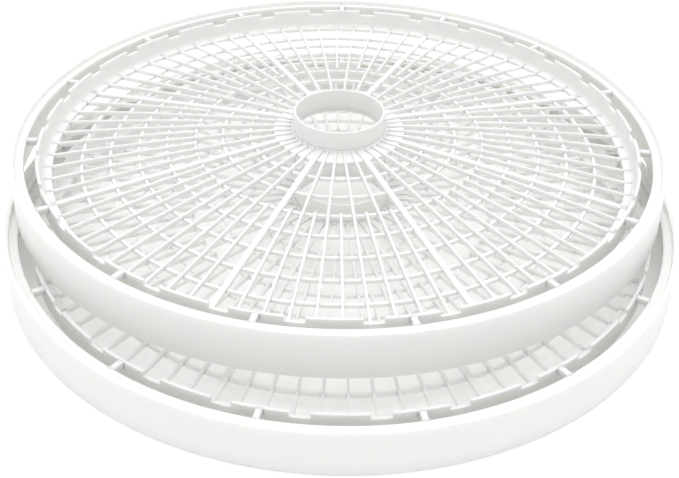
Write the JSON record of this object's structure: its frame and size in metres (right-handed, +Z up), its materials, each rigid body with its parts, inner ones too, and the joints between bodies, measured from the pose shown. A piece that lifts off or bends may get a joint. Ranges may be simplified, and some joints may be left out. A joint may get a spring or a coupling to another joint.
{
  "type": "food dehydrator tray stack",
  "caption": "Stacked round white drying trays for a food dehydrator, each with a domed rib-and-ring grid, an open hub and a notched air channel inside the rim.",
  "frame": {"origin": "centre of the bounding box's bottom, on the surface that the lower tray stands on", "axes": "+Z up along both tray axes, +Y backwards, the way the upper tray is pushed back, +X to the right"},
  "size_m": [0.3465, 0.3765, 0.0551],
  "materials": {
    "lower_tray_plastic": "satin injection-moulded white polystyrene",
    "upper_tray_plastic": "satin injection-moulded white polystyrene"
  },
  "bodies": {
    "lower_tray": {"lower_skirt": "lower_tray_plastic", "lower_rim_bridges": "lower_tray_plastic", "lower_inner_wall": "lower_tray_plastic", "lower_thick_ribs": "lower_tray_plastic", "lower_hub_flange": "lower_tray_plastic", "lower_hub": "lower_tray_plastic", "lower_grid_panel_1": "lower_tray_plastic", "lower_grid_panel_2": "lower_tray_plastic", "lower_grid_panel_3": "lower_tray_plastic", "lower_grid_panel_4": "lower_tray_plastic", "lower_grid_panel_5": "lower_tray_plastic", "lower_grid_panel_6": "lower_tray_plastic", "lower_grid_panel_7": "lower_tray_plastic", "lower_grid_panel_8": "lower_tray_plastic"},
    "upper_tray": {"upper_skirt": "upper_tray_plastic", "upper_rim_bridges": "upper_tray_plastic", "upper_inner_wall": "upper_tray_plastic", "upper_thick_ribs": "upper_tray_plastic", "upper_hub_flange": "upper_tray_plastic", "upper_hub": "upper_tray_plastic", "upper_grid_panel_1": "upper_tray_plastic", "upper_grid_panel_2": "upper_tray_plastic", "upper_grid_panel_3": "upper_tray_plastic", "upper_grid_panel_4": "upper_tray_plastic", "upper_grid_panel_5": "upper_tray_plastic", "upper_grid_panel_6": "upper_tray_plastic", "upper_grid_panel_7": "upper_tray_plastic", "upper_grid_panel_8": "upper_tray_plastic"}
  },
  "joints": [
    {"name": "lift_upper_tray", "type": "slide", "parent": "lower_tray", "child": "upper_tray", "axis": [0, 0, 1], "range_m": [0, 0.08]}
  ]
}
